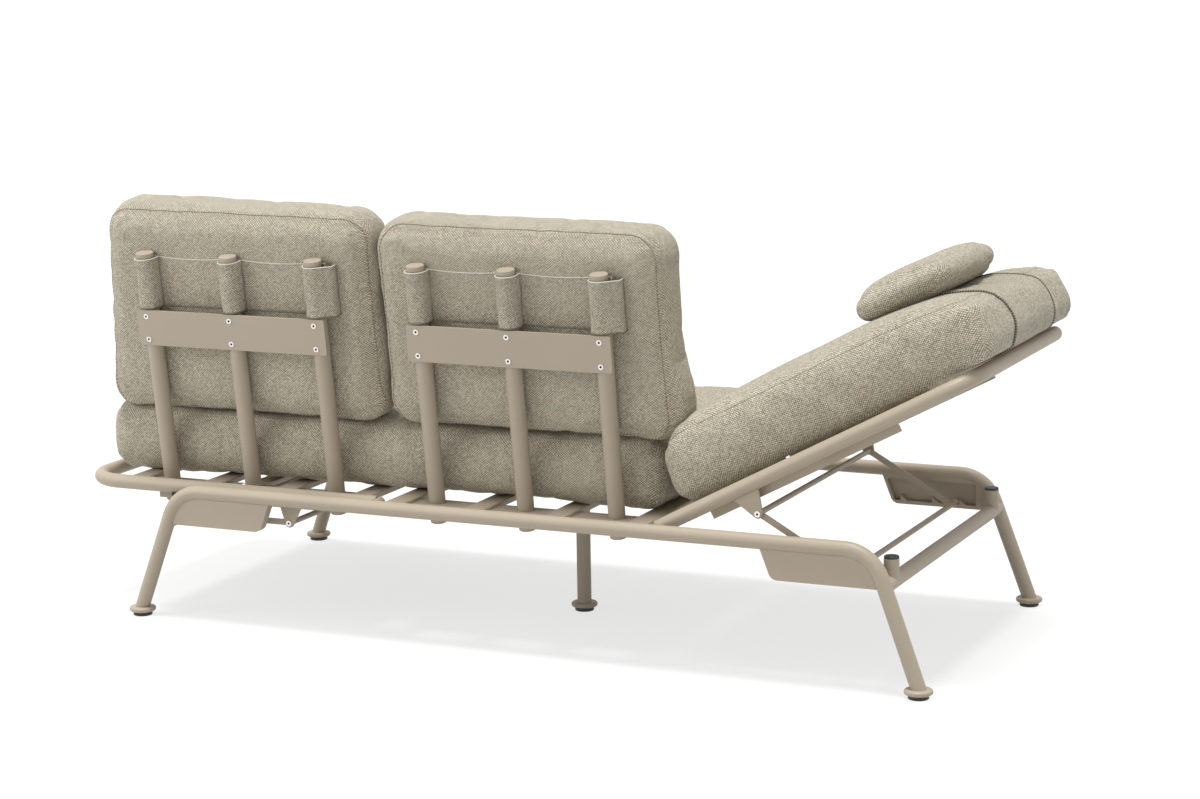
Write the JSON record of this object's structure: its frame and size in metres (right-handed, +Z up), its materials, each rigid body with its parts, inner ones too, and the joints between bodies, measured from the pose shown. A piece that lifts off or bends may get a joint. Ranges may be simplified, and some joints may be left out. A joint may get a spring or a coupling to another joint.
{
  "type": "double chaise lounger",
  "caption": "Tube-framed double chaise lounger with cushions and back units on one half, and a recliner at each end, one of them raised on a folding stay.",
  "frame": {"origin": "on the floor, under the middle of the centre foot", "axes": "+X along the seat towards the end that lies flat, +Y towards the rear where the back units stand, +Z up"},
  "size_m": [2.1554, 0.8554, 0.9415],
  "materials": {
    "coated_steel": "fine textured powder coat, taupe-beige, low sheen",
    "rubber": "smooth moulded black rubber and plastic",
    "bright_steel": "bright stainless heads",
    "cushion_fabric": "heavy woven melange, sand with light and dark flecks",
    "strap_fabric": "the same woven melange in a single layer with bound edges"
  },
  "bodies": {
    "fixed_frame": {"centre_back_cushion": "cushion_fabric", "centre_back_plate": "coated_steel", "centre_back_posts": "coated_steel", "centre_beam": "coated_steel", "centre_leg": "coated_steel", "centre_plate_screws": "bright_steel", "centre_slat_1": "coated_steel", "centre_slat_2": "coated_steel", "centre_slat_3": "coated_steel", "centre_slat_4": "coated_steel", "centre_sleeves": "strap_fabric", "centre_strips": "coated_steel", "foot_flanges": "coated_steel", "foot_pads": "rubber", "front_left_ratchet": "coated_steel", "front_right_ratchet": "coated_steel", "front_side_frame": "coated_steel", "hinge_pins": "bright_steel", "left_arm_bars": "coated_steel", "left_arm_screws": "bright_steel", "left_back_cushion": "cushion_fabric", "left_back_plate": "coated_steel", "left_back_posts": "coated_steel", "left_end_tube": "coated_steel", "left_plate_screws": "bright_steel", "left_recliner_frame": "coated_steel", "left_slat_1": "coated_steel", "left_slat_2": "coated_steel", "left_slat_3": "coated_steel", "left_slat_4": "coated_steel", "left_sleeves": "strap_fabric", "left_stay_bolts": "bright_steel", "left_stay_brackets": "coated_steel", "left_stay_rods": "coated_steel", "left_stay_strips": "coated_steel", "left_strips": "coated_steel", "post_caps": "coated_steel", "post_plugs": "rubber", "rear_left_ratchet": "coated_steel", "rear_right_ratchet": "coated_steel", "rear_side_frame": "coated_steel", "right_end_tube": "coated_steel", "seat_cushion": "cushion_fabric", "stop_caps": "rubber", "stop_posts": "coated_steel"},
    "right_recliner": {"right_arm_bars": "coated_steel", "right_arm_screws": "bright_steel", "right_recliner_frame": "coated_steel", "right_slat_1": "coated_steel", "right_slat_2": "coated_steel", "right_slat_3": "coated_steel", "right_slat_4": "coated_steel", "right_stay_bolts": "bright_steel", "right_stay_brackets": "coated_steel", "right_strips": "coated_steel", "chaise_cushion": "cushion_fabric", "headrest_band": "strap_fabric", "headrest_pillow": "cushion_fabric"},
    "right_stay": {"right_stay_strips": "coated_steel", "right_stay_rods": "coated_steel"}
  },
  "joints": [
    {"name": "right_recliner_hinge", "type": "hinge", "parent": "fixed_frame", "child": "right_recliner", "pos_m": [-0.3344, 0, 0.293], "axis": [0, 1, 0], "range_deg": [-27.6, 0]},
    {"name": "right_stay_hinge", "type": "hinge", "parent": "right_recliner", "child": "right_stay", "pos_m": [-0.55898, 0, 0.34044], "axis": [0, 1, 0], "range_deg": [0, 56.77]}
  ],
  "couplings": [
    {"joint": "right_stay_hinge", "follows": "right_recliner_hinge", "ratio": -2.0571}
  ]
}
